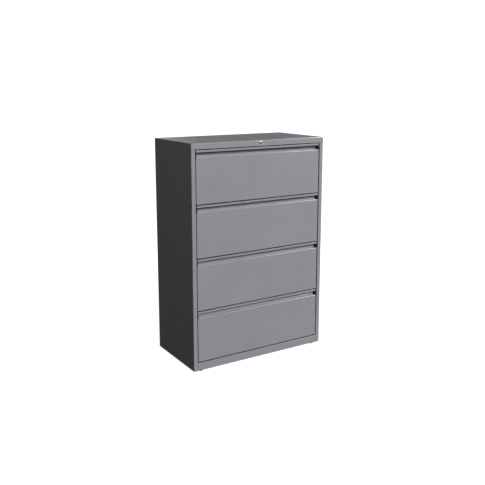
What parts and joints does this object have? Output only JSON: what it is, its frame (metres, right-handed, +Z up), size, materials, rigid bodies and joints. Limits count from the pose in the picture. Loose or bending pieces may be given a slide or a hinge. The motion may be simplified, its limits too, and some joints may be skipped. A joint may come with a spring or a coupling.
{
  "type": "lateral filing cabinet",
  "caption": "Wide lateral file of folded sheet steel: drawers with full-width recessed pulls on telescopic slides, a central lock, and levelling glides.",
  "frame": {"origin": "middle of the footprint, on the floor under the glides", "axes": "+Z up, the cabinet's height; +Y from the drawer fronts to the back; +X to the viewer's right, across the front"},
  "size_m": [0.9144, 0.4752, 1.3335],
  "materials": {
    "case_paint": "satin powder coat, warm metallic grey",
    "front_paint": "satin powder coat, warm metallic grey",
    "drawer_paint": "satin powder coat",
    "zinc_steel": "bright zinc plate",
    "lock_chrome": "polished",
    "black_plastic": "fine moulded texture",
    "glide_plastic": "matt",
    "nylon": "natural nylon",
    "weight_iron": "dark primer"
  },
  "bodies": {
    "case": {"side_panel_left": "case_paint", "side_panel_right": "case_paint", "back_panel": "case_paint", "top_panel": "case_paint", "top_rail": "zinc_steel", "bottom_rail": "case_paint", "base_pan": "case_paint", "upright_front_left": "zinc_steel", "upright_front_right": "zinc_steel", "upright_rear_left": "zinc_steel", "upright_rear_right": "zinc_steel", "counterweight": "weight_iron", "glide_nuts": "zinc_steel", "lock_housing": "lock_chrome", "lock_nut": "zinc_steel", "crank_pin": "zinc_steel", "lock_guides": "nylon", "slide_outer_1": "zinc_steel", "slide_outer_2": "zinc_steel", "slide_outer_3": "zinc_steel", "slide_outer_4": "zinc_steel"},
    "drawer_1": {"drawer_front_1": "front_paint", "pull_caps_1": "black_plastic", "drawer_tub_1": "drawer_paint", "drawer_back_1": "drawer_paint", "file_rails_1": "zinc_steel", "slide_inner_1": "zinc_steel"},
    "slide_middle_1": {"slide_middle_1": "zinc_steel"},
    "drawer_2": {"drawer_front_2": "front_paint", "pull_caps_2": "black_plastic", "drawer_tub_2": "drawer_paint", "drawer_back_2": "drawer_paint", "file_rails_2": "zinc_steel", "slide_inner_2": "zinc_steel"},
    "slide_middle_2": {"slide_middle_2": "zinc_steel"},
    "drawer_3": {"drawer_front_3": "front_paint", "pull_caps_3": "black_plastic", "drawer_tub_3": "drawer_paint", "drawer_back_3": "drawer_paint", "file_rails_3": "zinc_steel", "slide_inner_3": "zinc_steel"},
    "slide_middle_3": {"slide_middle_3": "zinc_steel"},
    "drawer_4": {"drawer_front_4": "front_paint", "pull_caps_4": "black_plastic", "drawer_tub_4": "drawer_paint", "drawer_back_4": "drawer_paint", "file_rails_4": "zinc_steel", "slide_inner_4": "zinc_steel"},
    "slide_middle_4": {"slide_middle_4": "zinc_steel"},
    "glide_front_left": {"glide_front_left": "glide_plastic"},
    "glide_front_right": {"glide_front_right": "glide_plastic"},
    "glide_rear_left": {"glide_rear_left": "glide_plastic"},
    "glide_rear_right": {"glide_rear_right": "glide_plastic"},
    "lock_plug": {"lock_plug": "lock_chrome", "lock_cam": "zinc_steel"},
    "lock_link": {"lock_link": "zinc_steel"},
    "lock_crank": {"lock_crank": "zinc_steel"},
    "lock_bar": {"lock_bar": "zinc_steel"}
  },
  "joints": [
    {"name": "drawer_1_slide", "type": "slide", "parent": "case", "child": "drawer_1", "axis": [0, -1, 0], "range_m": [0, 0.4]},
    {"name": "slide_middle_1_slide", "type": "slide", "parent": "case", "child": "slide_middle_1", "axis": [0, -1, 0], "range_m": [0, 0.2]},
    {"name": "drawer_2_slide", "type": "slide", "parent": "case", "child": "drawer_2", "axis": [0, -1, 0], "range_m": [0, 0.4]},
    {"name": "slide_middle_2_slide", "type": "slide", "parent": "case", "child": "slide_middle_2", "axis": [0, -1, 0], "range_m": [0, 0.2]},
    {"name": "drawer_3_slide", "type": "slide", "parent": "case", "child": "drawer_3", "axis": [0, -1, 0], "range_m": [0, 0.4]},
    {"name": "slide_middle_3_slide", "type": "slide", "parent": "case", "child": "slide_middle_3", "axis": [0, -1, 0], "range_m": [0, 0.2]},
    {"name": "drawer_4_slide", "type": "slide", "parent": "case", "child": "drawer_4", "axis": [0, -1, 0], "range_m": [0, 0.4]},
    {"name": "slide_middle_4_slide", "type": "slide", "parent": "case", "child": "slide_middle_4", "axis": [0, -1, 0], "range_m": [0, 0.2]},
    {"name": "lock_turn", "type": "hinge", "parent": "case", "child": "lock_plug", "pos_m": [0, -0.22555, 1.31625], "axis": [0, 1, 0], "range_deg": [0, 90.01]},
    {"name": "lock_link_slide", "type": "slide", "parent": "case", "child": "lock_link", "axis": [1, 0, 0], "range_m": [0, 0.01132]},
    {"name": "lock_crank_turn", "type": "hinge", "parent": "case", "child": "lock_crank", "pos_m": [0.4308, -0.20255, 1.3185], "axis": [0, -1, 0], "range_deg": [0, 56.3]},
    {"name": "lock_bar_slide", "type": "slide", "parent": "case", "child": "lock_bar", "axis": [0, 0, 1], "range_m": [0, 0.01131]},
    {"name": "glide_front_left_screw", "type": "hinge", "parent": "case", "child": "glide_front_left", "pos_m": [-0.4052, -0.21755, 0.004], "axis": [0, 0, 1], "continuous": true},
    {"name": "glide_front_right_screw", "type": "hinge", "parent": "case", "child": "glide_front_right", "pos_m": [0.4052, -0.21755, 0.004], "axis": [0, 0, 1], "continuous": true},
    {"name": "glide_rear_left_screw", "type": "hinge", "parent": "case", "child": "glide_rear_left", "pos_m": [-0.4052, 0.21955, 0.004], "axis": [0, 0, 1], "continuous": true},
    {"name": "glide_rear_right_screw", "type": "hinge", "parent": "case", "child": "glide_rear_right", "pos_m": [0.4052, 0.21955, 0.004], "axis": [0, 0, 1], "continuous": true}
  ],
  "couplings": [
    {"joint": "slide_middle_1_slide", "follows": "drawer_1_slide", "ratio": 0.5},
    {"joint": "slide_middle_2_slide", "follows": "drawer_2_slide", "ratio": 0.5},
    {"joint": "slide_middle_3_slide", "follows": "drawer_3_slide", "ratio": 0.5},
    {"joint": "slide_middle_4_slide", "follows": "drawer_4_slide", "ratio": 0.5},
    {"joint": "lock_turn", "follows": "lock_bar_slide", "rad_per_m": 138.84},
    {"joint": "lock_crank_turn", "follows": "lock_bar_slide", "rad_per_m": 86.777},
    {"joint": "lock_link_slide", "follows": "lock_bar_slide", "ratio": 1}
  ]
}
